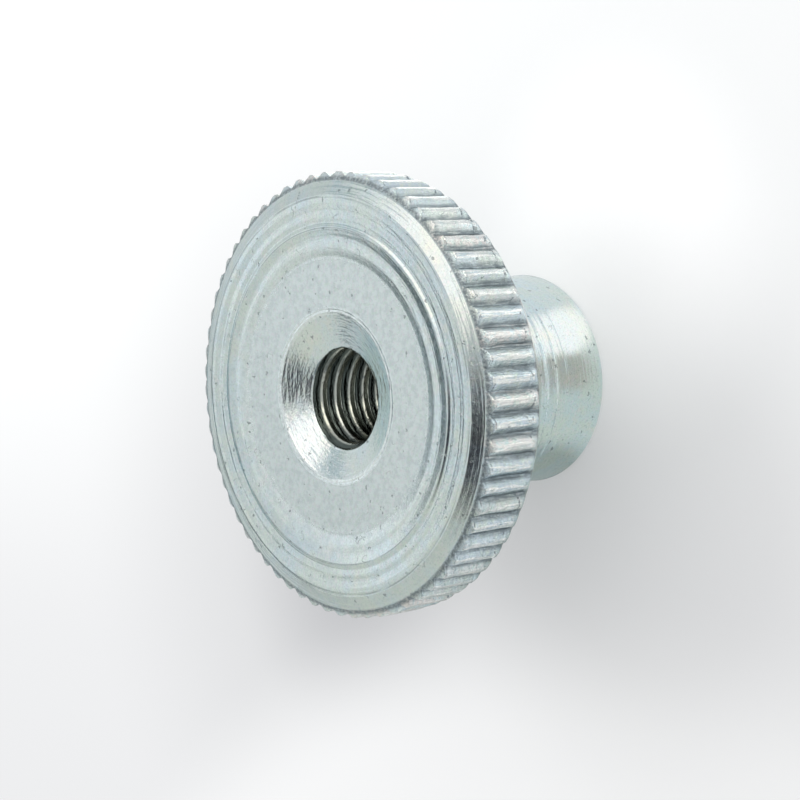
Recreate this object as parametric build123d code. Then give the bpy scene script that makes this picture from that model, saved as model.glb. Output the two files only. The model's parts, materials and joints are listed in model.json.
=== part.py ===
from build123d import *
import math
import os

# High knurled thumb nut, turned in one piece from round bar: a wide knurled disc head on a
# narrow collar, with a metric thread right through. The nut stands on its collar, axis along Z:
# the bearing face is at z = 0 and the open face of the head is on top. Millimetres.

# Main sizes. The thread's groove starts on the X axis, this far below a whole pitch.
thread_diameter = 6.0
thread_pitch = 1.0
thread_start_back = 0.48
nut_height = 15.0
head_diameter = 24.0
head_thickness = 5.0
collar_diameter = 12.0

# Edges of the head and of the collar
front_chamfer_radial = 1.25
front_chamfer_axial = 0.55
rear_chamfer = 1.3
collar_root_fillet = 0.5
collar_end_rounding = 0.3

# Open face of the head: a shallow flat-bottomed recess, then a shallow rounded groove around it
recess_floor_radius = 7.5
recess_mouth_radius = 9.1
recess_depth = 0.15
ring_groove_depth = 0.06

# Knurl: straight teeth around the head, with narrow flat tops and flanks at 45 degrees to them
tooth_count = 66
groove_share_of_pitch = 0.735
groove_root_width = 0.12
groove_depth = 0.36

# Hole drilled for the tap, at the large end of its tolerance, and its two countersinks
tapping_hole_diameter = 5.15
front_countersink_radius = 4.6
front_countersink_angle = 142.0
rear_countersink_radius = 3.4
rear_countersink_angle = 90.0

# Metric thread form: 60 degree flanks that meet a root flat of pitch/8 at the major diameter
flank_angle_from_radial = 30.0
root_flat = thread_pitch / 8

# How far a cut runs past the surface that it opens
overrun = 0.15

head_radius = head_diameter / 2
collar_radius = collar_diameter / 2
tapping_hole_radius = tapping_hole_diameter / 2
head_underside_z = nut_height - head_thickness
recess_floor_z = nut_height - recess_depth


def turned_blank():
    """Solid bar turned to the outer shape, before knurling and drilling."""
    front_edge_radius = head_radius - front_chamfer_radial
    ring_groove_radius = (recess_mouth_radius + front_edge_radius) / 2
    with BuildPart() as blank:
        with BuildSketch(Plane.XZ):
            with BuildLine():
                Polyline(
                    (recess_mouth_radius, nut_height),
                    (recess_floor_radius, recess_floor_z),
                    (0, recess_floor_z),
                    (0, 0),
                    (collar_radius, 0),
                    (collar_radius, head_underside_z),
                    (head_radius - rear_chamfer, head_underside_z),
                    (head_radius, head_underside_z + rear_chamfer),
                    (head_radius, nut_height - front_chamfer_axial),
                    (front_edge_radius, nut_height),
                )
                ThreePointArc(
                    (front_edge_radius, nut_height),
                    (ring_groove_radius, nut_height - ring_groove_depth),
                    (recess_mouth_radius, nut_height),
                )
            make_face()
        revolve(axis=Axis.Z)
        collar_edges = [edge for edge in blank.edges() if is_circle(edge, collar_radius)]
        end_edge, root_edge = ShapeList(collar_edges).sort_by(Axis.Z)
        fillet(end_edge, radius=collar_end_rounding)
        fillet(root_edge, radius=collar_root_fillet)
    return blank.part


def is_circle(edge, radius):
    """True for a round edge of the given radius."""
    return edge.geom_type == GeomType.CIRCLE and math.isclose(edge.radius, radius, abs_tol=1e-6)


def knurl_grooves():
    """Straight grooves between the teeth, running through the whole thickness of the head.

    They are turned a quarter of a tooth off the X axis, so that both X and Y run through tooth tops.
    """
    pitch_on_rim = math.pi * head_diameter / tooth_count
    half_mouth = pitch_on_rim * groove_share_of_pitch / 2
    half_root = groove_root_width / 2
    flank_slope = (half_mouth - half_root) / groove_depth
    half_outside = half_mouth + flank_slope * overrun
    quarter_tooth_turn = 90 / tooth_count
    with BuildPart() as grooves:
        with BuildSketch(Plane.XY.offset(head_underside_z - overrun)):
            with PolarLocations(0, tooth_count, start_angle=-quarter_tooth_turn):
                Polygon(
                    (head_radius - groove_depth, -half_root),
                    (head_radius + overrun, -half_outside),
                    (head_radius + overrun, half_outside),
                    (head_radius - groove_depth, half_root),
                    align=None,
                )
        extrude(amount=head_thickness + 2 * overrun)
    return grooves.part


def thread_groove():
    """Helical groove of the internal thread, from below the collar to above the head."""
    thread_depth = thread_diameter / 2 - tapping_hole_radius
    flank_slope = math.tan(math.radians(flank_angle_from_radial))
    half_root = root_flat / 2
    half_inner = half_root + (thread_depth + overrun) * flank_slope
    start_z = -thread_pitch - thread_start_back
    path = Helix(
        pitch=thread_pitch,
        height=nut_height + 2 * thread_pitch,
        radius=tapping_hole_radius,
        center=(0, 0, start_z),
    )
    with BuildSketch(Plane.XZ) as section:
        Polygon(
            (tapping_hole_radius - overrun, start_z - half_inner),
            (thread_diameter / 2, start_z - half_root),
            (thread_diameter / 2, start_z + half_root),
            (tapping_hole_radius - overrun, start_z + half_inner),
            align=None,
        )
    return sweep(section.sketch, path=path, is_frenet=True)


def tapping_hole():
    """Plain round hole through the nut."""
    return Location((0, 0, nut_height / 2)) * Cylinder(tapping_hole_radius, nut_height + 2 * overrun)


def countersink(mouth_radius, included_angle):
    """Cone with its mouth at z = 0 and its point below, carried on a little above the mouth."""
    slope = math.tan(math.radians(included_angle / 2))
    with BuildPart() as cone:
        with BuildSketch(Plane.XZ):
            Polygon(
                (0, -mouth_radius / slope),
                (mouth_radius + overrun * slope, overrun),
                (0, overrun),
                align=None,
            )
        revolve(axis=Axis.Z)
    return cone.part


def thumb_nut():
    """The whole nut: turned, tapped, drilled, countersunk and knurled."""
    front = countersink(front_countersink_radius, front_countersink_angle)
    rear = countersink(rear_countersink_radius, rear_countersink_angle)
    nut = turned_blank() - thread_groove() - tapping_hole()
    nut = nut - front.moved(Location((0, 0, recess_floor_z))) - rear.rotate(Axis.X, 180)
    return nut - knurl_grooves()


os.makedirs("parts", exist_ok=True)
export_step(thumb_nut(), "parts/thumb_nut.step")
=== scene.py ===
"""High knurled thumb nut in bright zinc-plated steel, standing on its collar.

The CAD node gives the sizes. One closed, finely divided skin stands in for it: the same turned
profile, thread and knurl, with the tool marks, rolled tooth edges and small dents of a real nut.
"""

import json
import math
from types import SimpleNamespace

import bpy
import numpy as np
from mathutils import Matrix, Vector


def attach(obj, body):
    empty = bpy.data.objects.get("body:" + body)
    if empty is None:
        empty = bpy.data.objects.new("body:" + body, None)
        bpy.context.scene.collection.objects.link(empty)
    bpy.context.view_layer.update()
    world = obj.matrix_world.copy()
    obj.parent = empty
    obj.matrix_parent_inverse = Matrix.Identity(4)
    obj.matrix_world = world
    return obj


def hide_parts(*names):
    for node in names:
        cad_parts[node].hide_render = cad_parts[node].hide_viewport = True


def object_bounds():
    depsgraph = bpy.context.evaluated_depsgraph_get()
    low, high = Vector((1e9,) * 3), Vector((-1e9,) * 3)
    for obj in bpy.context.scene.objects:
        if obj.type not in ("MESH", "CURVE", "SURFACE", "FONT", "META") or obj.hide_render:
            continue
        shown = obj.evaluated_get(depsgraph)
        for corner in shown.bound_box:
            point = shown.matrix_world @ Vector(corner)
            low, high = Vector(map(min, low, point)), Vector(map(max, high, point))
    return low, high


MM = 0.001

# ---------------------------------------------------------------- the frame

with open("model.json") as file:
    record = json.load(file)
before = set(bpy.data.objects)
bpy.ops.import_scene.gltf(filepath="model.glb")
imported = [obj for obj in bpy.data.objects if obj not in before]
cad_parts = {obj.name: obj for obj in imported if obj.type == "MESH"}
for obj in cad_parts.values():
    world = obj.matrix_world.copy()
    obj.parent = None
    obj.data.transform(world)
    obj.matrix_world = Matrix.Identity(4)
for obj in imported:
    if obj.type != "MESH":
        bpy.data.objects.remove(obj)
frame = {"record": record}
cad_low, cad_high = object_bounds()
record = frame["record"]
thread_mount = next(m for m in record["mounts"] if m["name"] == "thread")

# ---------------------------------------------------------------- sizes, in millimetres

HEAD_RADIUS = round(cad_high.x / MM, 2)
HEIGHT = round(cad_high.z / MM, 2)
COLLAR_RADIUS = HEAD_RADIUS / 2
UNDERSIDE_Z = HEIGHT * 2 / 3

FRONT_CHAMFER_RADIAL = 1.25
FRONT_CHAMFER_AXIAL = 0.55
REAR_CHAMFER = 1.3
REAR_BEVEL_AXIAL = 0.4
REAR_BEVEL_RADIAL = 0.13
ROOT_FILLET = 0.5
END_ROUNDING = 0.3

# Where the head's turned outline changes: edges of the flat faces, and ends of the toothed land
CHAMFER_START = HEAD_RADIUS - FRONT_CHAMFER_RADIAL
UNDERSIDE_EDGE = HEAD_RADIUS - REAR_CHAMFER
FRONT_LAND_Z = HEIGHT - FRONT_CHAMFER_AXIAL
REAR_LAND_Z = UNDERSIDE_Z + REAR_CHAMFER + REAR_BEVEL_AXIAL

# Tool passes on the open face outside its flat centre: where each ends, in millimetres from the
# axis, and how steeply it climbs outwards, in degrees. A negative slope falls.
RING_START = 7.40
RING_PASSES = (
    (7.50, 5.0), (7.76, 9.5), (7.95, 7.0), (8.15, 4.0), (8.42, 0.5), (8.60, 6.0), (8.98, 9.5),
    (9.09, 1.0), (9.12, -12.0), (9.24, -25.0), (9.28, -6.0), (9.34, 0.0), (9.58, 6.5), (9.68, 0.0),
    (9.84, -1.5), (9.95, 0.5), (10.32, 6.0), (10.42, 2.0), (10.60, 0.0), (10.65, -20.0),
    (10.70, 12.0), (10.75, -6.0),
)
# Painted shade in the steps between the passes: middle of each seam, and how far it spreads.
RING_SEAMS = ((9.02, 0.05), (10.68, 0.07))
# Rubbed ridges that the tool left round the collar: height, and how far each stands out.
COLLAR_RIDGES = ((2.95, 0.020), (3.70, 0.030), (4.45, 0.030), (5.20, 0.020), (6.40, 0.020))
RIDGE_WIDTH = 0.16
# The collar and the front chamfer are sunk a little, so that no mark stands past the true outline.
COLLAR_SUNK = 0.034
CHAMFER_SUNK = 0.006
# Finest turning marks on each surface: depth, and how far apart they lie
COLLAR_MARKS = (0.004, 0.12)
UNDERSIDE_MARKS = (0.012, 0.34)
CHAMFER_MARKS = (0.008, 0.030)
FACE_MARKS = (0.0009, 0.05)
SINK_MARKS = (0.006, 0.10)
BEARING_MARKS = (0.010, 0.2)

# Knurl. Shares are parts of the spacing from tooth to tooth, and the first tooth's middle lies
# that part of the spacing round from the X axis.
TEETH = 66
FIRST_TOOTH = 0.25
GROOVE_DEPTH = 0.36
GROOVE_SHARE = 0.735
GROOVE_ROOT_SHARE = 0.105
CREST_CROWN = 0.022
# How much teeth differ: depth as a share, shift as a share of the spacing, and sinking of the crest
DEPTH_SPREAD = 0.12
SHIFT_SPREAD = 0.03
CREST_SINKING = 0.04
# Rolled-up front ends of the teeth: height, and the shortest and longest run up to it
SWELL = 0.050
SWELL_RUN = (0.3, 0.8)
# Nicks across the teeth near both ends of the land: height, its spread, depth and width
FRONT_NICK = (FRONT_LAND_Z - 0.07, 0.03, 0.11, 0.045)
REAR_NICK = (REAR_LAND_Z + 0.05, 0.05, 0.10, 0.07)
NICK_SKEW = 0.14
# Unevenness along the rolled teeth, in height and in lean to one side: amount, and rows from knot to knot
WANDER = (0.026, 3.0)
LEAN = (0.05, 4.0)
LAND_EDGE_BLEND = 0.02

BORE_RADIUS = thread_mount["dims"]["r_mm"]
THREAD_RADIUS = 3.0
PITCH = 1.0
THREAD_START_BACK = 0.48
THREAD_FLANK_TURN = math.radians(30)
ROOT_BLEND = 0.05
CREST_BLEND = 0.14
FRONT_SINK_RADIUS = 4.6
FRONT_SINK_SLOPE = math.tan(math.radians(71.0))
REAR_SINK_RADIUS = 3.4
REAR_SINK_SLOPE = math.tan(math.radians(45.0))

# ---------------------------------------------------------------- how finely the skin is divided

# Places of the columns across half a tooth, crowded round its edges, as shares of the spacing
HALF_TOOTH = (0.050, 0.100, 0.124, 0.152, 0.290, 0.425, 0.462)
TOOTH_COLUMNS = 2 * len(HALF_TOOTH)
KNURL_COLUMNS = TEETH * TOOTH_COLUMNS
SMOOTH_COLUMNS = KNURL_COLUMNS // 4
THREAD_COLUMNS = SMOOTH_COLUMNS // 3
ARC_ROWS = 6
COLLAR_ROWS = 36
RIDGE_ROWS = np.array([-0.16, -0.11, -0.07, -0.035, 0, 0.035, 0.07, 0.11, 0.16])
UNDERSIDE_ROWS = 13
REAR_CHAMFER_STEPS = (0.12, 0.3)
# Rows along the teeth: heights above the underside, number on the land, and heights from its front end
REAR_TOOTH_ROWS = (0.35, 0.8, 0.95, 1.22, 1.3, 1.38, 1.5, 1.60, 1.68, 1.74)
LAND_ROWS = 11
FRONT_TOOTH_ROWS = (-0.10, -0.07, -0.045, -0.02, 0.0, 0.04, 0.08, 0.12, 0.17, 0.22)
CHAMFER_ROWS = 15
FACE_ROWS = 76
DISC_ROWS = 10
# Rounded lip of the front countersink: distance outside its radius, and how far it drops
SINK_LIP = ((0.26, 0.002), (0.20, 0.006), (0.14, 0.013), (0.08, 0.023), (0.03, 0.035))
SINK_ROWS = 18
# Rows over half a pitch of the thread, as shares of the pitch
THREAD_ROWS = (0, 0.07, 0.15, 0.24, 0.30, 0.36, 0.43)
REAR_SINK_ROWS = 5
BEARING_ROWS = 10
# Gaps left between one group of rows and the next
REAR_LAND_GAP = 0.12
FRONT_LAND_GAP = 0.14
CHAMFER_OUTER_GAP = 0.25
CHAMFER_INNER_GAP = 0.01
DISC_INNER_GAP = 0.32
SINK_OUTER_GAP = 0.04
SINK_INNER_GAP = 0.06
THREAD_START_GAP = 0.02
REAR_SINK_GAP = 0.1
SEED = 466


def angles(columns):
    """Evenly spaced angles round the axis."""
    return np.arange(columns) * 2 * math.pi / columns


def knurl_angles():
    """Angles crowded round the edges of each tooth, and each one's place across its tooth."""
    places = np.array([-place for place in reversed(HALF_TOOTH)] + list(HALF_TOOTH))
    teeth = np.repeat(np.arange(TEETH), TOOTH_COLUMNS)
    across = np.tile(places, TEETH)
    return (teeth + FIRST_TOOTH + across) * 2 * math.pi / TEETH, across, teeth


class Skin:
    """Rings of points round the axis, each one joined to the ring before it."""

    def __init__(self):
        self.points = []
        self.count = 0
        self.faces = []
        self.last = None

    def vertices(self, points):
        """Adds points and returns their numbers."""
        self.points.append(np.asarray(points, float))
        numbers = np.arange(self.count, self.count + len(points))
        self.count += len(points)
        return numbers

    def ring(self, radius, z, turn):
        """Adds a ring at these radii, heights and angles, and joins it on."""
        turn = np.asarray(turn, float)
        radius = np.broadcast_to(radius, turn.shape)
        z = np.broadcast_to(z, turn.shape)
        points = np.stack([radius * np.cos(turn), radius * np.sin(turn), z], axis=1)
        self.join(self.vertices(points))

    def join(self, ring):
        """Joins a ring of numbers to the last one, whatever whole ratio their counts have."""
        if self.last is not None:
            self.faces += bridge(self.last, ring)
        self.last = ring


def bridge(first, second):
    """Faces between two rings. The finer ring fans out evenly to the coarser one."""
    if len(first) == len(second):
        a, b = first, second
        c, d = np.roll(second, -1), np.roll(first, -1)
        return [tuple(f) for f in np.stack([a, d, c, b], axis=1).tolist()]
    flip = len(first) > len(second)
    coarse, fine = (second, first) if flip else (first, second)
    ratio = len(fine) // len(coarse)
    half = ratio // 2
    faces = []
    for i, start in enumerate(coarse):
        end = coarse[(i + 1) % len(coarse)]
        run = [fine[(i * ratio + k) % len(fine)] for k in range(ratio + 1)]
        faces += [(start, run[k + 1], run[k]) for k in range(half)]
        faces += [(end, run[k + 1], run[k]) for k in range(ratio - half, ratio)]
        middle = (run[half + 1], run[half]) if ratio % 2 else (run[half],)
        faces.append((start, end) + middle)
    if flip:
        faces = [face[::-1] for face in faces]
    return [tuple(int(n) for n in face) for face in faces]


def wave(places, spacing, seed):
    """Random wave between -1 and 1 along places, with a knot at every spacing."""
    source = np.random.default_rng(seed)
    low = places.min() - spacing
    knots = np.arange(low, places.max() + 2 * spacing, spacing)
    return np.interp(places, knots, source.uniform(-1, 1, len(knots)))


def marks_along(places, marks, seed):
    """Fine turning marks along places, from their depth and how far apart they lie."""
    depth, spacing = marks
    return depth * wave(places, spacing, seed)


def smooth_min(a, b, blend):
    """The smaller of a and b, with the corner between them rounded over about blend."""
    gap = np.clip(0.5 + 0.5 * (b - a) / blend, 0, 1)
    return b + (a - b) * gap - blend * gap * (1 - gap)


def tooth_radius(across, teeth):
    """Radius of the knurl at each column: rounded tooth tops and straight-sided grooves."""
    source = np.random.default_rng(SEED)
    depth = GROOVE_DEPTH * (1 + DEPTH_SPREAD * source.uniform(-1, 1, TEETH))[teeth]
    shift = (SHIFT_SPREAD * source.uniform(-1, 1, TEETH))[teeth]
    sink = (CREST_SINKING * source.uniform(0, 1, TEETH) ** 2)[teeth]
    land_edge = (1 - GROOVE_SHARE) / 2
    root_edge = (1 - GROOVE_ROOT_SHARE) / 2
    place = np.abs(across + shift * (1 - 2 * np.abs(across)))
    fall = np.clip((place - land_edge) / (root_edge - land_edge), 0, 1)
    crown = CREST_CROWN * np.clip(place / land_edge, 0, 1) ** 2
    return HEAD_RADIUS - sink - crown * (1 - fall) - depth * fall


def collar_wall(skin, turn):
    """Collar from its rounded end up to the fillet under the head."""
    for step in np.linspace(0, math.pi / 2, ARC_ROWS):
        r = COLLAR_RADIUS - END_ROUNDING * (1 - math.sin(step))
        skin.ring(r, END_ROUNDING * (1 - math.cos(step)), turn)
    heights = [np.linspace(END_ROUNDING, UNDERSIDE_Z - ROOT_FILLET, COLLAR_ROWS)[1:-1]]
    heights += [ridge + RIDGE_ROWS for ridge, _ in COLLAR_RIDGES]
    heights = np.unique(np.round(np.concatenate(heights), 3))
    marks = marks_along(heights, COLLAR_MARKS, SEED + 1) - COLLAR_SUNK
    for ridge, stands in COLLAR_RIDGES:
        marks += stands * np.exp(-(((heights - ridge) / (RIDGE_WIDTH / 2)) ** 2))
    for z, mark in zip(heights, marks):
        skin.ring(COLLAR_RADIUS + mark, z, turn)
    for step in np.linspace(0, math.pi / 2, ARC_ROWS):
        r = COLLAR_RADIUS + ROOT_FILLET * (1 - math.cos(step))
        skin.ring(r, UNDERSIDE_Z - ROOT_FILLET * (1 - math.sin(step)), turn)


def underside(skin, turn):
    """Flat underside of the head and the plain inner part of its rear chamfer."""
    radii = np.linspace(COLLAR_RADIUS + ROOT_FILLET, UNDERSIDE_EDGE, UNDERSIDE_ROWS)[1:]
    marks = marks_along(radii, UNDERSIDE_MARKS, SEED + 3)
    for r, mark in zip(radii, marks):
        skin.ring(r, UNDERSIDE_Z + max(mark, 0), turn)
    for out in REAR_CHAMFER_STEPS:
        skin.ring(UNDERSIDE_EDGE + out, UNDERSIDE_Z + out, turn)


def rim_outline(z):
    """Radius of the head's turned outline at a height: rear chamfer, rear bevel, land, front chamfer."""
    bevel_start = HEAD_RADIUS - REAR_BEVEL_RADIAL
    places = [UNDERSIDE_Z, UNDERSIDE_Z + REAR_CHAMFER, REAR_LAND_Z, FRONT_LAND_Z, HEIGHT]
    radii = [UNDERSIDE_EDGE, bevel_start, HEAD_RADIUS, HEAD_RADIUS, CHAMFER_START]
    return float(np.interp(z, places, radii))


def tooth_rows():
    """Heights of the rows along the teeth, crowded round the ends of the land."""
    rear = [UNDERSIDE_Z + up for up in REAR_TOOTH_ROWS]
    land = list(np.linspace(REAR_LAND_Z + REAR_LAND_GAP, FRONT_LAND_Z - FRONT_LAND_GAP, LAND_ROWS))
    front = [FRONT_LAND_Z + up for up in FRONT_TOOTH_ROWS]
    return rear + land + front


def knurled_rim(skin):
    """Toothed rim, with the chamfers on both sides cut across the teeth.

    The turning tool rolled each tooth's front end up a little, and left a nick near each end.
    """
    turn, across, teeth = knurl_angles()
    tooth = tooth_radius(across, teeth)
    rows = tooth_rows()
    source = np.random.default_rng(SEED + 4)
    shortest, longest = SWELL_RUN
    full_at = FRONT_LAND_Z - shortest - (longest - shortest) * source.uniform(0, 1, TEETH)[teeth]
    swell = SWELL * source.uniform(0.2, 1, TEETH)[teeth]
    skew = (NICK_SKEW * source.uniform(-1, 1, TEETH))[teeth] * across
    place, spread, depth, front_width = FRONT_NICK
    nick_at = place + spread * source.uniform(-1, 1, TEETH)[teeth] + skew
    nick_depth = depth * source.uniform(0, 1, TEETH)[teeth] * source.uniform(0.2, 1, len(teeth))
    place, spread, depth, rear_width = REAR_NICK
    rear_nick_at = place + spread * source.uniform(-1, 1, TEETH)[teeth] + skew
    rear_nick_depth = depth * source.uniform(0, 1, TEETH)[teeth] ** 2 * source.uniform(0.2, 1, len(teeth))
    wander = row_waves(len(rows), WANDER, SEED + 10)[teeth] * (1 - np.abs(across))[:, None]
    lean = row_waves(len(rows), LEAN, SEED + 110)[teeth] * across[:, None]
    for row, z in enumerate(rows):
        outline = np.full_like(tooth, rim_outline(z))
        rolled = swell * np.clip((z - full_at) / (FRONT_LAND_Z - full_at), 0, 1)
        nick = nick_depth * np.exp(-(((z - nick_at) / front_width) ** 2))
        nick = nick + rear_nick_depth * np.exp(-(((z - rear_nick_at) / rear_width) ** 2))
        raised = np.minimum(tooth + rolled + wander[:, row] + lean[:, row], HEAD_RADIUS) - nick
        skin.ring(smooth_min(raised, outline, LAND_EDGE_BLEND), z, turn)


def row_waves(rows, waves, seed):
    """A random wave along the rows for each tooth."""
    height, spacing = waves
    return height * np.array([wave(np.arange(rows), spacing, seed + tooth) for tooth in range(TEETH)])


def front_chamfer(skin, turn):
    """Plain inner part of the front chamfer."""
    slope = FRONT_CHAMFER_RADIAL / FRONT_CHAMFER_AXIAL
    inner_drop = float(face_drop(CHAMFER_START))
    lowest = FRONT_LAND_Z + CHAMFER_OUTER_GAP
    highest = HEIGHT - inner_drop - CHAMFER_INNER_GAP
    heights = np.linspace(lowest, highest, CHAMFER_ROWS)
    marks = marks_along(heights, CHAMFER_MARKS, SEED + 5) - CHAMFER_SUNK
    for z, mark in zip(heights, marks):
        skin.ring(HEAD_RADIUS - (z - FRONT_LAND_Z) * slope, z + mark, turn)


def face_drop(radius):
    """How far the open face lies below its highest pass at a radius."""
    radii, climbs = [RING_START], [0.0]
    for end, slope in RING_PASSES:
        climbs.append(climbs[-1] + (end - radii[-1]) * math.tan(math.radians(slope)))
        radii.append(end)
    return max(climbs) - np.interp(radius, radii, climbs)


DISC_Z = HEIGHT - float(face_drop(0.0))


def open_face(skin, turn):
    """Turned passes and the recessed flat centre of the head's open face."""
    radii = np.linspace(CHAMFER_START, RING_START, FACE_ROWS)
    marks = marks_along(radii, FACE_MARKS, SEED + 6)
    for r, drop, mark in zip(radii, face_drop(radii), marks):
        skin.ring(r, HEIGHT - max(drop + mark, 0), turn)
    for r in np.linspace(RING_START, FRONT_SINK_RADIUS + DISC_INNER_GAP, DISC_ROWS)[1:]:
        skin.ring(r, DISC_Z, turn)
    for out, drop in SINK_LIP:
        skin.ring(FRONT_SINK_RADIUS + out, DISC_Z - drop, turn)


def front_sink_z(radius):
    """Height of the front countersink's cone at a radius."""
    return DISC_Z - (FRONT_SINK_RADIUS - radius) / FRONT_SINK_SLOPE


def rear_sink_z(radius):
    """Height of the rear countersink's cone at a radius."""
    return (REAR_SINK_RADIUS - radius) / REAR_SINK_SLOPE


def front_countersink(skin, turn):
    """Front countersink, with the faint steps of a chattering tool."""
    radii = np.linspace(FRONT_SINK_RADIUS - SINK_OUTER_GAP, THREAD_RADIUS + SINK_INNER_GAP, SINK_ROWS)
    marks = marks_along(radii, SINK_MARKS, SEED + 7)
    for r, mark in zip(radii, marks):
        skin.ring(r, front_sink_z(r) + mark, turn)


def thread_profile(place):
    """Thread radius at a place along the axis in pitches, with a groove centred on each whole number."""
    off = np.abs(place - np.round(place)) * PITCH
    flank = THREAD_RADIUS - (off - PITCH / 16) / math.tan(THREAD_FLANK_TURN)
    rounded_root = smooth_min(flank, np.full_like(flank, THREAD_RADIUS), ROOT_BLEND)
    return -smooth_min(-rounded_root, np.full_like(flank, -BORE_RADIUS), CREST_BLEND)


def thread(skin):
    """Internal thread as a spiral grid whose rows follow the helix, cut off by the two countersinks."""
    turn = angles(THREAD_COLUMNS)
    start_radius = THREAD_RADIUS + THREAD_START_GAP
    top, bottom = front_sink_z(start_radius), rear_sink_z(start_radius)
    skin.ring(start_radius, top, turn)
    top_ring = skin.last
    across_pitch = np.array(THREAD_ROWS)
    across_pitch = np.concatenate([across_pitch, 1 - across_pitch[:0:-1]])
    across_pitch = np.sort(np.append(across_pitch, 0.5))
    whole = np.arange(-2, math.ceil(HEIGHT / PITCH) + 1)
    places = (whole[:, None] + across_pitch[None, :]).ravel()
    z = (places[:, None] - THREAD_START_BACK + turn[None, :] / (2 * math.pi)) * PITCH
    radius = thread_profile(np.broadcast_to(places[:, None], z.shape))
    front_cone = FRONT_SINK_RADIUS - (DISC_Z - z) * FRONT_SINK_SLOPE
    rear_cone = REAR_SINK_RADIUS - z * REAR_SINK_SLOPE
    radius = np.maximum(radius, np.maximum(front_cone, rear_cone))
    inside = (z > bottom) & (z < top)
    x = radius * np.cos(turn)[None, :]
    y = radius * np.sin(turn)[None, :]
    number = np.zeros(z.shape, int)
    number[inside] = skin.vertices(np.stack([x[inside], y[inside], z[inside]], axis=1))
    skin.last = None
    skin.ring(start_radius, bottom, turn)
    bottom_ring = skin.last
    columns = np.broadcast_to(np.arange(THREAD_COLUMNS), z.shape)
    number = np.where(z >= top, top_ring[columns], number)
    number = np.where(z <= bottom, bottom_ring[columns], number)
    per_pitch = len(across_pitch)
    wrapped = np.full((len(places), 1), -1)
    wrapped[:-per_pitch, 0] = number[per_pitch:, 0]
    wrapped[-per_pitch:, 0] = top_ring[0]
    grid = np.hstack([number, wrapped])
    for upper, lower in zip(grid[1:].tolist(), grid[:-1].tolist()):
        for i in range(THREAD_COLUMNS):
            face = []
            for n in (upper[i], upper[i + 1], lower[i + 1], lower[i]):
                if n not in face:
                    face.append(n)
            if len(face) > 2:
                skin.faces.append(tuple(face))


def rear_countersink(skin, turn):
    """Rear countersink, out to the bearing face."""
    for r in np.linspace(THREAD_RADIUS + REAR_SINK_GAP, REAR_SINK_RADIUS, REAR_SINK_ROWS):
        skin.ring(r, rear_sink_z(r), turn)


def bearing_face(skin, turn):
    """Flat end of the collar, out to its rounded edge, where the skin closes on its first ring."""
    radii = np.linspace(REAR_SINK_RADIUS, COLLAR_RADIUS - END_ROUNDING, BEARING_ROWS)[1:-1]
    marks = np.maximum(marks_along(radii, BEARING_MARKS, SEED + 8), 0)
    for r, mark in zip(radii, marks):
        skin.ring(r, mark, turn)


def nut_skin():
    """The whole closed skin as one mesh object."""
    skin = Skin()
    smooth = angles(SMOOTH_COLUMNS)
    collar_wall(skin, smooth)
    underside(skin, smooth)
    knurled_rim(skin)
    front_chamfer(skin, smooth)
    open_face(skin, smooth)
    front_countersink(skin, smooth)
    thread(skin)
    rear_countersink(skin, smooth)
    bearing_face(skin, smooth)
    skin.join(np.arange(SMOOTH_COLUMNS))
    mesh = bpy.data.meshes.new("knurled_nut")
    mesh.from_pydata((np.concatenate(skin.points) * MM).tolist(), [], skin.faces)
    mesh.validate()
    mesh.shade_smooth()
    nut = bpy.data.objects.new("knurled_nut", mesh)
    bpy.context.scene.collection.objects.link(nut)
    return nut


# ---------------------------------------------------------------- shader helpers

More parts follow.
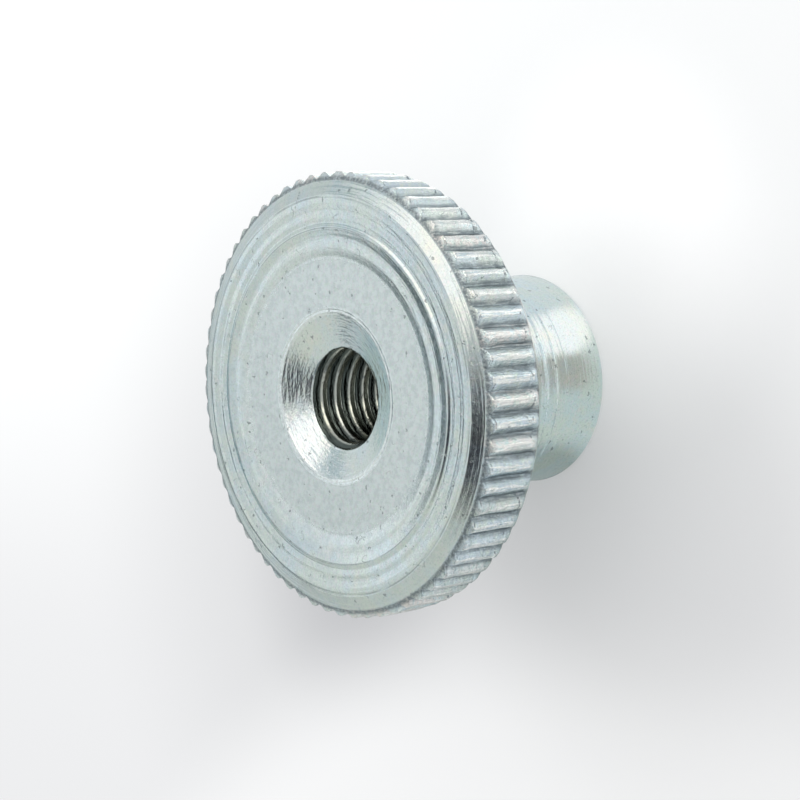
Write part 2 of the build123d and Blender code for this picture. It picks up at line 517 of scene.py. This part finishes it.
class Shader:
    """Short calls for building a node tree. A socket given as an input is linked, a number is set."""

    def __init__(self, tree):
        self.tree = tree
        tree.nodes.clear()

    def node(self, kind, inputs=None, **settings):
        """Adds a node with these settings and inputs."""
        made = self.tree.nodes.new(kind)
        for name, value in settings.items():
            setattr(made, name, value)
        for name, value in (inputs or {}).items():
            if isinstance(value, bpy.types.NodeSocket):
                self.tree.links.new(value, made.inputs[name])
            else:
                made.inputs[name].default_value = value
        return made

    def math(self, operation, a, b=0.0, c=0.0):
        """One arithmetic step."""
        inputs = {0: a, 1: b, 2: c}
        return self.node("ShaderNodeMath", inputs, operation=operation).outputs[0]

    def times(self, first, *others):
        """Everything multiplied together."""
        for other in others:
            first = self.math("MULTIPLY", first, other)
        return first

    def vector(self, operation, a, b=(0, 0, 0)):
        """One vector step that gives a vector."""
        return self.node("ShaderNodeVectorMath", {0: a, 1: b}, operation=operation).outputs[0]

    def join(self, x, y, z):
        """Three numbers as a vector."""
        return self.node("ShaderNodeCombineXYZ", {0: x, 1: y, 2: z}).outputs[0]

    def noise(self, vector, scale, detail=2.0, roughness=0.5):
        """Smooth noise between 0 and 1."""
        inputs = {"Vector": vector, "Scale": scale, "Detail": detail, "Roughness": roughness}
        return self.node("ShaderNodeTexNoise", inputs).outputs[0]

    def swirl(self, radius, high, round_axis, across, along):
        """Noise stretched along circles round the axis, with this many features per millimetre across."""
        one, other = round_axis
        inputs = {
            "Vector": self.join(self.times(radius, across), self.times(high, across), self.times(one, along)),
            "W": self.times(other, along),
            "Scale": 1.0,
            "Detail": 1.5,
            "Roughness": 0.5,
        }
        return self.node("ShaderNodeTexNoise", inputs, noise_dimensions="4D").outputs[0]

    def step(self, value, low, high, to_low=0.0, to_high=1.0):
        """Smooth step of value from low to high."""
        inputs = {0: value, 1: low, 2: high, 3: to_low, 4: to_high}
        return self.node("ShaderNodeMapRange", inputs, interpolation_type="SMOOTHSTEP").outputs[0]

    def mix(self, factor, a, b):
        """Colour a towards colour b."""
        made = self.node("ShaderNodeMix", data_type="RGBA")
        for number, value in ((0, factor), (6, a), (7, b)):
            if isinstance(value, bpy.types.NodeSocket):
                self.tree.links.new(value, made.inputs[number])
            else:
                made.inputs[number].default_value = value if number == 0 else (*value, 1)
        return made.outputs[2]

    def bump(self, height, distance, normal=None):
        """Normal of a relief that is this many metres high, on top of another normal."""
        inputs = {"Height": height, "Distance": distance}
        if normal is not None:
            inputs["Normal"] = normal
        return self.node("ShaderNodeBump", inputs).outputs[0]


# ---------------------------------------------------------------- the zinc plating

# Masks of the nut's parts fade between two radii, heights or depths, in millimetres.
HEAD_FADE = (UNDERSIDE_Z + 0.3, UNDERSIDE_Z + 0.5)
TOP_FADE = (DISC_Z - 0.10, DISC_Z - 0.06)
RIM_FADE = (HEAD_RADIUS - 0.55, HEAD_RADIUS - 0.40)
GROOVE_FADE = (HEAD_RADIUS - 0.13, HEAD_RADIUS - 0.35)
CREST_FADE = (HEAD_RADIUS - 0.09, HEAD_RADIUS - 0.05)
CHAMFER_FADE = (CHAMFER_START - 0.03, CHAMFER_START + 0.05)
RING_OUTER_FADE = (CHAMFER_START + 0.05, CHAMFER_START - 0.03)
RING_INNER_FADE = (RING_START - 0.05, RING_START + 0.15)
PALE_FACE_FADE = (9.0, 6.8)
DISC_OUTER_FADE = (8.2, 6.9)
DISC_INNER_FADE = (FRONT_SINK_RADIUS + 0.10, FRONT_SINK_RADIUS + 0.30)
SINK_FADE = (FRONT_SINK_RADIUS + 0.10, FRONT_SINK_RADIUS)
BORE_FADE = (THREAD_RADIUS + 0.15, THREAD_RADIUS + 0.05)
BELOW_CONE_FADE = (0.03, 0.10)
THREAD_FADE = (BORE_RADIUS + 0.05, BORE_RADIUS + 0.16)
FRONT_NICK_FADES = ((FRONT_LAND_Z - 0.13, FRONT_LAND_Z - 0.08), (FRONT_LAND_Z, FRONT_LAND_Z - 0.05))
REAR_NICK_FADES = ((REAR_LAND_Z - 0.10, REAR_LAND_Z - 0.04), (REAR_LAND_Z + 0.09, REAR_LAND_Z + 0.03))

# Noises that the plating is drawn with: shift in millimetres, features per millimetre, detail, roughness.
BLOTCHES = ((0, 0, 0), 0.5, 3.0, 0.6)
CREAM_BLOTCHES = ((31, 7, 13), 0.9, 4.0, 0.65)
MOTTLE = ((3, 17, 29), 3.2, 4.0, 0.75)
GRAIN = ((0, 0, 0), 11.0, 3.0, 0.7)
FACE_CLOUDS = ((0, 0, 0), 2.1, 5.0, 0.85)
GREEN_SPOTS = ((13, 37, 19), 4.5, 3.0, 0.7)
PINK_SPOTS = ((29, 3, 43), 5.0, 3.0, 0.7)
NICK_PATCHES = ((19, 5, 23), 2.6, 3.0, 0.7)
SPECK_SIZES = ((0, 0, 0), 6.0, 2.0, 0.5)
SCRATCH_COURSE = ((5, 41, 2), 0.8, 2.0, 0.6)
SCRATCH_PATCHES = ((11, 3, 7), 1.3, 2.0, 0.5)
RIM_DENTS = ((7, 23, 11), 5.0, 3.0, 0.7)
# Turning lines round the axis: features per millimetre across them, and round the whole turn.
LINES = (5.0, 4.0)
BROKEN_LINES = (9.0, 16.0)
# Streaks along the teeth: features per millimetre across the axis and along it, detail, roughness
STREAKS_ACROSS = 7.0
STREAKS_ALONG = 0.9
STREAKS_DETAIL = 3.0
STREAKS_ROUGHNESS = 0.65

# Bare plating, and the tints laid over it in turn: noise, its fade, strength and colour.
PLATING_BLUISH = (0.69, 0.81, 0.84)
PLATING_GREENISH = (0.73, 0.82, 0.77)
PLATING_FADE = (0.40, 0.60)
WIDE_TINTS = (
    (CREAM_BLOTCHES, (0.52, 0.70), 0.50, (0.82, 0.82, 0.74)),
    (MOTTLE, (0.52, 0.72), 0.50, (0.80, 0.79, 0.88)),
    (GRAIN, (0.52, 0.66), 0.55, (0.47, 0.53, 0.54)),
)
SPOT_TINTS = (
    (GREEN_SPOTS, (0.53, 0.62), 0.35, (0.68, 0.84, 0.72)),
    (PINK_SPOTS, (0.53, 0.62), 0.35, (0.86, 0.80, 0.86)),
)
PALE_FACE_STRENGTH = 0.90
PALE_FACE_COLOUR = (0.87, 0.95, 0.95)
FACE_CLOUD_FADE = (0.44, 0.60)
FACE_CLOUD_STRENGTH = 0.46
FACE_CLOUD_COLOUR = (0.58, 0.66, 0.68)
# Tint of each part: the name of its mask, strength and colour.
PART_TINTS_AND_HOLE_SHADE = (
    ("in_chamfer", 0.22, (0.52, 0.56, 0.55)),
    ("in_sink", 0.20, (0.95, 0.97, 0.95)),
    # Painted shade in the hole: a darker brownish bore and nearly black thread grooves
    ("in_bore", 0.60, (0.46, 0.44, 0.36)),
    ("in_thread", 0.92, (0.05, 0.07, 0.065)),
)
# Warm teeth and cold teeth: fade over each tooth's chance from 0 to 1, strength and colour.
TOOTH_TINTS = (
    ((0.45, 0.95), 0.75, (0.89, 0.82, 0.79)),
    ((0.50, 0.05), 0.60, (0.62, 0.72, 0.82)),
)
TOOTH_TINT_FADE = (0.40, 0.56)
# Soot in the knurl's grooves, partly painted shade, painted shade in its nicks, and crests rubbed bright
SOOT_AND_SHADE_COLOUR = (0.22, 0.26, 0.28)
GROOVE_SOOT_AND_SHADE_FADE = (0.30, 0.60, 0.40, 0.95)
NICK_SHADE_FADE = (0.50, 0.58)
NICK_SHADE_STRENGTH = 0.85
RUBBED_COLOUR = (1.0, 1.0, 0.97)
RUBBED_FADE = (0.42, 0.56)
RUBBED_STRENGTH = 0.75
# Painted shade in the steps between the tool passes of the open face: colour, fade over the turning lines,
# and strength
SEAM_SHADE_COLOUR = (0.30, 0.34, 0.34)
SEAM_SHADE_FADE = (0.35, 0.55)
SEAM_SHADE_STRENGTH = 0.6
MARK_COLOUR = (0.22, 0.26, 0.27)
MARK_STRENGTH = 0.60
SPECKS_PER_MM = 1.25
SPECK_SIZE_FROM = 0.42
SPECK_SIZE_SCALE = 0.75
SPECK_EDGE = (0.03, -0.01)
SCRATCH_HALF_WIDTH = (0.010, 0.003)
SCRATCH_FADE = (0.59, 0.66)
SCRATCH_STRENGTH = 0.45
# Roughness of the plating, from its smoothest to its roughest patches, and what parts add or take off
ROUGHNESS_FADE = (0.3, 0.75, 0.17, 0.27)
DISC_EXTRA_ROUGHNESS = 0.12
TURNED_LESS_ROUGHNESS = 0.05
# Relief of the finest texture: depths in metres, and shares of what makes up the turning lines
LINE_RELIEF = 0.060 * MM
GRAIN_RELIEF = 0.010 * MM
DENT_RELIEF = 0.030 * MM
MARK_RELIEF = 0.02 * MM
LINES_SHARE = 0.45
BROKEN_LINES_SHARE = 0.20
TOOTH_STREAKS_SHARE = 0.65
LINES_LEFT_ON_DISC = 0.1
LINES_OFF_RING = 0.62
GRAIN_OFF_DISC = 0.4


def nut_places(s):
    """Where a point of the skin is, in millimetres, with masks for the parts of the nut."""
    at = SimpleNamespace()
    at.place = s.vector("SCALE", s.node("ShaderNodeTexCoord").outputs["Object"])
    at.place.node.inputs["Scale"].default_value = 1 / MM
    at.x, at.y, at.z = s.node("ShaderNodeSeparateXYZ", {0: at.place}).outputs
    at.radius = s.math("SQRT", s.math("ADD", s.times(at.x, at.x), s.times(at.y, at.y)))
    at.round_axis = (s.math("DIVIDE", at.x, at.radius), s.math("DIVIDE", at.y, at.radius))
    on_head = s.step(at.z, *HEAD_FADE)
    at.on_top = s.step(at.z, *TOP_FADE)
    at.on_rim = s.times(s.step(at.radius, *RIM_FADE), on_head)
    at.in_groove = s.times(s.step(at.radius, *GROOVE_FADE), at.on_rim)
    at.on_crest = s.times(s.step(at.radius, *CREST_FADE), at.on_rim)
    at.in_chamfer = s.times(s.step(at.radius, *CHAMFER_FADE), s.math("SUBTRACT", on_head, at.on_rim))
    at.on_ring = s.times(s.step(at.radius, *RING_INNER_FADE), s.step(at.radius, *RING_OUTER_FADE), at.on_top)
    at.on_disc = s.times(s.step(at.radius, *DISC_OUTER_FADE), s.step(at.radius, *DISC_INNER_FADE), at.on_top)
    at.in_sink = s.step(at.radius, *SINK_FADE)
    cone_z = s.math("MULTIPLY_ADD", at.radius, 1 / FRONT_SINK_SLOPE, front_sink_z(0))
    below_cone = s.step(s.math("SUBTRACT", cone_z, at.z), *BELOW_CONE_FADE)
    at.in_bore = s.times(s.step(at.radius, *BORE_FADE), below_cone)
    at.in_thread = s.times(at.in_bore, s.step(at.radius, *THREAD_FADE))
    at.turned = s.math("SUBTRACT", 1.0, s.math("MAXIMUM", at.on_disc, at.on_rim))
    return at


def patches(s, at, noise):
    """One of the noises named above."""
    shift, per_mm, detail, roughness = noise
    return s.noise(s.vector("ADD", at.place, shift), per_mm, detail, roughness)


def fine_textures(s, at):
    """Turning lines, streaks along the teeth, mottling and grain, each from 0 to 1."""
    stretched = s.vector("MULTIPLY", at.place, (STREAKS_ACROSS, STREAKS_ACROSS, STREAKS_ALONG))
    return SimpleNamespace(
        lines=s.swirl(at.radius, at.z, at.round_axis, *LINES),
        broken_lines=s.swirl(at.radius, at.z, at.round_axis, *BROKEN_LINES),
        streaks=s.noise(stretched, 1.0, STREAKS_DETAIL, STREAKS_ROUGHNESS),
        mottle=patches(s, at, MOTTLE),
        grain=patches(s, at, GRAIN),
    )


def patchy_tints(s, at, colour, tints):
    """A colour with patchy tints laid over it in turn."""
    for noise, fade, strength, tint in tints:
        colour = s.mix(s.times(s.step(patches(s, at, noise), *fade), strength), colour, tint)
    return colour


def face_tints(s, at, colour):
    """Paler middle of the open face, with faint clouds."""
    pale = s.times(s.step(at.radius, *PALE_FACE_FADE), at.on_top, PALE_FACE_STRENGTH)
    colour = s.mix(pale, colour, PALE_FACE_COLOUR)
    cloud = s.times(s.step(patches(s, at, FACE_CLOUDS), *FACE_CLOUD_FADE), at.on_top, FACE_CLOUD_STRENGTH)
    return s.mix(cloud, colour, FACE_CLOUD_COLOUR)


def part_tints_and_hole_shade(s, at, colour):
    """Duller chamfer, brighter countersink, and painted shade in the hole: a darker brownish bore and nearly
    black thread grooves.
    """
    for mask, strength, tint in PART_TINTS_AND_HOLE_SHADE:
        colour = s.mix(s.times(getattr(at, mask), strength), colour, tint)
    return colour


def tooth_tints(s, at, fine, colour):
    """Some teeth a little warmer and some a little colder than the rest."""
    turn = s.math("ARCTAN2", at.y, at.x)
    tooth = s.math("ROUND", s.math("MULTIPLY_ADD", turn, TEETH / (2 * math.pi), -FIRST_TOOTH))
    chance = s.node("ShaderNodeTexWhiteNoise", {"W": tooth}, noise_dimensions="1D").outputs["Value"]
    where = s.times(at.on_rim, s.step(fine.mottle, *TOOTH_TINT_FADE))
    for fade, strength, tint in TOOTH_TINTS:
        colour = s.mix(s.times(s.step(chance, *fade), where, strength), colour, tint)
    return colour


def between(s, z, fades):
    """Mask of a band of heights, from the fade at its lower edge and the fade at its upper edge."""
    lower, upper = fades
    return s.times(s.step(z, *lower), s.step(z, *upper))


def rim_soot_shade_and_wear(s, at, fine, colour):
    """Soot in the grooves of the knurl, partly painted shade, painted shade in its nicks, and tooth crests
    rubbed bright.
    """
    # Soot in the grooves, partly painted shade
    groove_soot_and_shade = s.times(at.in_groove, s.step(fine.streaks, *GROOVE_SOOT_AND_SHADE_FADE))
    # Painted shade in the nicks near both ends of the land, in patches
    nicks = s.math("MAXIMUM", between(s, at.z, FRONT_NICK_FADES), between(s, at.z, REAR_NICK_FADES))
    shaded_patches = s.step(patches(s, at, NICK_PATCHES), *NICK_SHADE_FADE)
    in_nick = s.times(nicks, shaded_patches, at.on_rim, NICK_SHADE_STRENGTH)
    colour = s.mix(s.math("MAXIMUM", groove_soot_and_shade, in_nick), colour, SOOT_AND_SHADE_COLOUR)
    rubbed = s.times(at.on_crest, s.step(fine.streaks, *RUBBED_FADE), RUBBED_STRENGTH)
    return s.mix(rubbed, colour, RUBBED_COLOUR)


def seam_shade(s, at, fine, colour):
    """Painted shade in the steps between the tool passes of the open face."""
    for seam, width in RING_SEAMS:
        away = s.math("ABSOLUTE", s.math("SUBTRACT", at.radius, seam))
        in_seam = s.times(s.step(away, width, width / 3), at.on_top, SEAM_SHADE_STRENGTH)
        colour = s.mix(s.times(in_seam, s.step(fine.lines, *SEAM_SHADE_FADE)), colour, SEAM_SHADE_COLOUR)
    return colour


def specks_and_scratches(s, at):
    """Mask of small specks and fine short scratches."""
    cells = s.node("ShaderNodeTexVoronoi", {"Vector": at.place, "Scale": SPECKS_PER_MM}, feature="F1")
    size = s.times(s.math("SUBTRACT", patches(s, at, SPECK_SIZES), SPECK_SIZE_FROM), SPECK_SIZE_SCALE)
    speck = s.step(s.math("SUBTRACT", cells.outputs["Distance"], size), *SPECK_EDGE)
    aside = s.math("ABSOLUTE", s.math("SUBTRACT", patches(s, at, SCRATCH_COURSE), 0.5))
    here = s.step(patches(s, at, SCRATCH_PATCHES), *SCRATCH_FADE)
    return s.math("MAXIMUM", speck, s.times(s.step(aside, *SCRATCH_HALF_WIDTH), here, SCRATCH_STRENGTH))


def plating_roughness(s, at, fine):
    """Rougher on the flat disc, smoother where the metal was turned or knurled."""
    rough = s.math("ADD", s.step(fine.mottle, *ROUGHNESS_FADE), s.times(at.on_disc, DISC_EXTRA_ROUGHNESS))
    return s.math("SUBTRACT", rough, s.times(s.math("MAXIMUM", at.turned, at.on_rim), TURNED_LESS_ROUGHNESS))


def plating_relief(s, at, fine, mark):
    """Turning lines, streaked teeth, grain, rim dents and sunken marks, as a normal."""
    lines = s.math("ADD", s.times(fine.lines, LINES_SHARE), s.times(fine.broken_lines, BROKEN_LINES_SHARE))
    depth = s.math("MULTIPLY_ADD", at.turned, 1 - LINES_LEFT_ON_DISC, LINES_LEFT_ON_DISC)
    depth = s.math("SUBTRACT", depth, s.times(at.on_ring, LINES_OFF_RING))
    on_teeth = s.times(s.math("ADD", fine.streaks, fine.mottle), at.on_rim, TOOTH_STREAKS_SHARE)
    normal = s.bump(s.math("ADD", s.times(lines, depth), on_teeth), LINE_RELIEF)
    grain = s.times(fine.grain, s.step(at.on_disc, 0.0, 1.0, GRAIN_OFF_DISC, 1.0))
    normal = s.bump(grain, GRAIN_RELIEF, normal)
    normal = s.bump(s.times(patches(s, at, RIM_DENTS), at.on_rim), DENT_RELIEF, normal)
    return s.bump(s.times(mark, -1.0), MARK_RELIEF, normal)


def zinc_plating():
    """Bright zinc plating over turned steel: faint tints, turning lines, grain, specks and scratches."""
    material = bpy.data.materials.new("zinc_plating")
    material.use_nodes = True
    s = Shader(material.node_tree)
    at = nut_places(s)
    fine = fine_textures(s, at)
    mark = specks_and_scratches(s, at)
    colour = s.mix(s.step(patches(s, at, BLOTCHES), *PLATING_FADE), PLATING_BLUISH, PLATING_GREENISH)
    colour = patchy_tints(s, at, colour, WIDE_TINTS)
    colour = face_tints(s, at, colour)
    colour = patchy_tints(s, at, colour, SPOT_TINTS)
    colour = part_tints_and_hole_shade(s, at, colour)
    colour = tooth_tints(s, at, fine, colour)
    colour = rim_soot_shade_and_wear(s, at, fine, colour)
    colour = seam_shade(s, at, fine, colour)
    colour = s.mix(s.times(mark, MARK_STRENGTH), colour, MARK_COLOUR)
    inputs = {
        "Base Color": colour,
        "Metallic": 1.0,
        "Roughness": plating_roughness(s, at, fine),
        "Normal": plating_relief(s, at, fine, mark),
    }
    surface = s.node("ShaderNodeBsdfPrincipled", inputs)
    s.node("ShaderNodeOutputMaterial", {"Surface": surface.outputs[0]})
    return material


# ---------------------------------------------------------------- camera

CAMERA_TURN = math.radians(-80.5)
VIEW_TURN = math.radians(0.365)
VIEW_ELEVATION = math.radians(41.607)
VIEW_ROLL = math.radians(-95.78)
VIEW_DISTANCE = 113.54 * MM
LENS = 92.74
AIM = Vector((-0.09, -0.54, 10.04)) * MM

towards = Vector((math.cos(CAMERA_TURN), math.sin(CAMERA_TURN), 0))
sideways = Vector((-math.sin(CAMERA_TURN), math.cos(CAMERA_TURN), 0))
up = Vector((0, 0, 1))


def from_nut(outwards, across, high):
    """A vector given along the camera's bearing, across it and upwards."""
    return towards * outwards + sideways * across + up * high


def photo_camera():
    """Long lens looking down on the open face, with the camera on its side."""
    data = bpy.data.cameras.new("camera")
    data.lens = LENS
    data.clip_start = 0.001
    data.clip_end = 10
    camera = bpy.data.objects.new("camera", data)
    bpy.context.scene.collection.objects.link(camera)
    flat = math.cos(VIEW_ELEVATION)
    back = from_nut(flat * math.cos(VIEW_TURN), flat * math.sin(VIEW_TURN), math.sin(VIEW_ELEVATION))
    look = (-back).to_track_quat("-Z", "Y").to_matrix().to_4x4()
    roll = Matrix.Rotation(VIEW_ROLL, 4, "Z")
    spot = from_nut(*AIM) + back * VIEW_DISTANCE
    camera.matrix_world = Matrix.Translation(spot) @ look @ roll
    bpy.context.scene.camera = camera
    return camera


# ---------------------------------------------------------------- floor and light

# The floor as the metal mirrors it, glowing with painted soft-edged round pools of light and shade:
# middle along and across the camera's bearing, radius and soft edge in millimetres, and colour.
FLOOR_MIRRORED = (0.80, 0.82, 0.83)
MIRRORED_LIGHT_AND_SHADE_POOLS = (
    ((-110, 0), 80, 12, (0.66, 0.69, 0.69)),
    ((12, -22), 5, 6, (0.78, 0.80, 0.80)),
    ((-8, -24), 10, 10, (0.52, 0.54, 0.54)),
    ((24, -10), 5, 5, (1.30, 1.30, 1.27)),
    ((24, -1), 4, 4, (0.62, 0.63, 0.62)),
    ((19, 10), 4, 4, (1.40, 1.40, 1.37)),
    ((12, 16), 3, 3, (0.72, 0.76, 0.80)),
    ((8, 24), 5, 4, (0.74, 0.76, 0.78)),
    ((-8, 22), 8, 6, (1.60, 1.60, 1.58)),
    ((0, 0), 14, 4, (0.80, 0.84, 0.86)),
    ((10.5, -15.5), 5, 3, (0.22, 0.26, 0.29)),
    ((17.5, -9.5), 3, 3, (0.34, 0.38, 0.41)),
    ((3, -9), 9, 3, (0.62, 0.67, 0.65)),
    ((-4, -10), 8, 3, (0.34, 0.38, 0.37)),
    ((9.5, 0.4), 1.6, 1.8, (0.50, 0.49, 0.47)),
    ((7.5, 4.5), 2.0, 1.2, (1.26, 1.19, 1.16)),
)
# The floor as the camera sees it: paler on one side as painted light, fading between two places across
# the camera's bearing in millimetres, partly glowing by itself as painted light that lightens its
# shadows, with painted pools of shade and light like those above.
PAPER_BRIGHT = (0.86, 0.87, 0.875)
PAPER_DIM = (0.76, 0.765, 0.775)
PAPER_FADE = (-18, 10)
PAPER_GLOW = 0.38
PAPER_GLOW_STRENGTH = 1.08
FLOOR_HALF_SIZE = 1.5
PAPER_SHADE_AND_LIGHT_POOLS = (
    ((-20, -10), 3, 28, (0.66, 0.665, 0.675)),
    ((8, 7), 4, 9, (0.97, 0.975, 0.98)),
    ((-18, -12), 1, 12, (0.52, 0.525, 0.54)),
    ((0, -78), 57, 10, (0.84, 0.845, 0.85)),
)


def in_pools(s, place, pools, colour):
    """A colour, with soft-edged round pools of other colours laid over it."""
    for spot, radius, edge, pool in pools:
        middle = from_nut(spot[0], spot[1], 0) * MM
        gap = s.node("ShaderNodeVectorMath", {0: place, 1: middle}, operation="DISTANCE").outputs["Value"]
        colour = s.mix(s.step(gap, (radius + edge) * MM, radius * MM), colour, pool)
    return colour


def dot(s, vector, way):
    """How far a vector reaches along a way."""
    return s.node("ShaderNodeVectorMath", {0: vector, 1: way}, operation="DOT_PRODUCT").outputs["Value"]


def pale_floor():
    """Pale floor that the collar stands on, with painted shade and a painted glow where the camera sees it,
    and painted pools of light and shade that only the metal mirrors.
    """
    half = FLOOR_HALF_SIZE
    mesh = bpy.data.meshes.new("floor")
    corners = [(-half, -half, 0), (half, -half, 0), (half, half, 0), (-half, half, 0)]
    mesh.from_pydata(corners, [], [(0, 1, 2, 3)])
    floor = bpy.data.objects.new("floor", mesh)
    bpy.context.scene.collection.objects.link(floor)
    material = bpy.data.materials.new("floor")
    material.use_nodes = True
    s = Shader(material.node_tree)
    place = s.node("ShaderNodeNewGeometry").outputs["Position"]
    # Painted shade: the paper dims towards one side
    dim_end, bright_end = PAPER_FADE
    aside = s.step(dot(s, place, sideways), dim_end * MM, bright_end * MM)
    shaded_paper = s.mix(aside, PAPER_DIM, PAPER_BRIGHT)
    # Painted pools of shade and light on the paper
    shaded_paper = in_pools(s, place, PAPER_SHADE_AND_LIGHT_POOLS, shaded_paper)
    lit = s.node("ShaderNodeBsdfDiffuse", {"Color": shaded_paper})
    # The paper glows partly by itself, painted light that lightens its shadows
    own_glow = s.node("ShaderNodeEmission", {"Color": shaded_paper, "Strength": PAPER_GLOW_STRENGTH})
    seen = s.node("ShaderNodeMixShader", {0: PAPER_GLOW, 1: lit.outputs[0], 2: own_glow.outputs[0]})
    # For mirror rays the floor glows with painted pools of light and shade
    mirrored = s.node("ShaderNodeEmission", {"Color": in_pools(s, place, MIRRORED_LIGHT_AND_SHADE_POOLS, FLOOR_MIRRORED)})
    in_metal = s.node("ShaderNodeLightPath").outputs["Is Glossy Ray"]
    surface = s.node("ShaderNodeMixShader", {0: in_metal, 1: seen.outputs[0], 2: mirrored.outputs[0]})
    s.node("ShaderNodeOutputMaterial", {"Surface": surface.outputs[0]})
    mesh.materials.append(material)


# What the bright metal mirrors, as soft-edged round panels: bearing vector, radius and soft edge in
# degrees, and colour. Later panels cover earlier ones.
ROOM = (0.60, 0.62, 0.63)
PANELS = (
    ((-0.75, 0.05, 0.62), 30, 22, (1.13, 1.15, 1.18)),
    ((-0.52, 0.02, 0.84), 12, 14, (0.74, 0.76, 0.78)),
    ((-0.60, 0.16, 0.78), 6, 8, (0.68, 0.70, 0.72)),
    ((-0.45, -0.60, 0.66), 24, 22, (0.66, 0.68, 0.65)),
    ((-0.91, -0.03, 0.41), 7, 3, (0.08, 0.10, 0.11)),
    ((-0.87, -0.19, 0.45), 5, 4, (0.12, 0.15, 0.16)),
    ((-0.82, -0.20, 0.52), 2, 4, (0.26, 0.29, 0.30)),
    ((-0.85, 0.45, 0.25), 16, 13, (0.70, 0.73, 0.74)),
    ((-0.91, -0.40, 0.06), 12, 12, (0.56, 0.59, 0.59)),
    ((-0.985, -0.03, 0.10), 9, 8, (0.42, 0.52, 0.54)),
    ((-0.64, 0.45, 0.63), 6, 6, (0.46, 0.52, 0.54)),
    ((-0.06, -0.22, 0.97), 8, 13, (0.05, 0.05, 0.06)),
    ((-0.24, 0.43, 0.87), 14, 7, (1.42, 1.32, 1.26)),
    ((0.45, 0.62, 0.64), 18, 10, (1.80, 1.74, 1.60)),
    ((0.25, -0.85, 0.46), 18, 10, (0.16, 0.18, 0.19)),
)
# Light that reaches the floor: bearing vector of its bright side, and how it rises from the level
# behind to the level in front.
FLOOR_SKY = (-0.20, 0.75, 0.60)
FLOOR_SKY_RISE = (-0.3, 1.0, 0.45, 1.30)
# What the camera sees beyond the floor
BACKDROP = (0.86, 0.87, 0.875)
# Soft box that lights the floor: bearing vector, distance and width in metres, and power in watts
SOFT_BOX_WAY = (-0.45, 0.45, 0.77)
SOFT_BOX_DISTANCE = 0.15
SOFT_BOX_WIDTH = 0.09
SOFT_BOX_POWER = 0.075


def panelled_room():
    """Soft even light on the floor, and a room of soft panels for the metal to mirror."""
    world = bpy.data.worlds.new("studio")
    world.use_nodes = True
    world.cycles.sampling_method = "NONE"
    bpy.context.scene.world = world
    s = Shader(world.node_tree)
    direction = s.node("ShaderNodeTexCoord").outputs["Generated"]
    mirrored = ROOM
    for way, radius, edge, panel in PANELS:
        cosine = dot(s, direction, from_nut(*way).normalized())
        inside = s.step(cosine, math.cos(math.radians(radius + edge)), math.cos(math.radians(radius)))
        mirrored = s.mix(inside, mirrored, panel)
    rays = s.node("ShaderNodeLightPath")
    sky = s.step(dot(s, direction, from_nut(*FLOOR_SKY).normalized()), *FLOOR_SKY_RISE)
    colour = s.mix(rays.outputs["Is Diffuse Ray"], mirrored, s.join(sky, sky, sky))
    colour = s.mix(rays.outputs["Is Camera Ray"], colour, BACKDROP)
    background = s.node("ShaderNodeBackground", {"Color": colour, "Strength": 1.0})
    s.node("ShaderNodeOutputWorld", {"Surface": background.outputs[0]})


def soft_box():
    """Round soft light over the nut, which the metal doesn't mirror."""
    data = bpy.data.lights.new("soft_box", "AREA")
    data.shape = "DISK"
    data.size = SOFT_BOX_WIDTH
    data.energy = SOFT_BOX_POWER
    light = bpy.data.objects.new("soft_box", data)
    light.location = from_nut(*SOFT_BOX_WAY) * SOFT_BOX_DISTANCE
    light.rotation_euler = light.location.to_track_quat("Z", "Y").to_euler()
    light.visible_glossy = False
    bpy.context.scene.collection.objects.link(light)


# ---------------------------------------------------------------- the scene

nut = nut_skin()
nut.data.materials.append(zinc_plating())
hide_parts("thumb_nut")
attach(nut, "root")
photo_camera()
pale_floor()
panelled_room()
soft_box()
bpy.context.scene.view_settings.view_transform = "Standard"
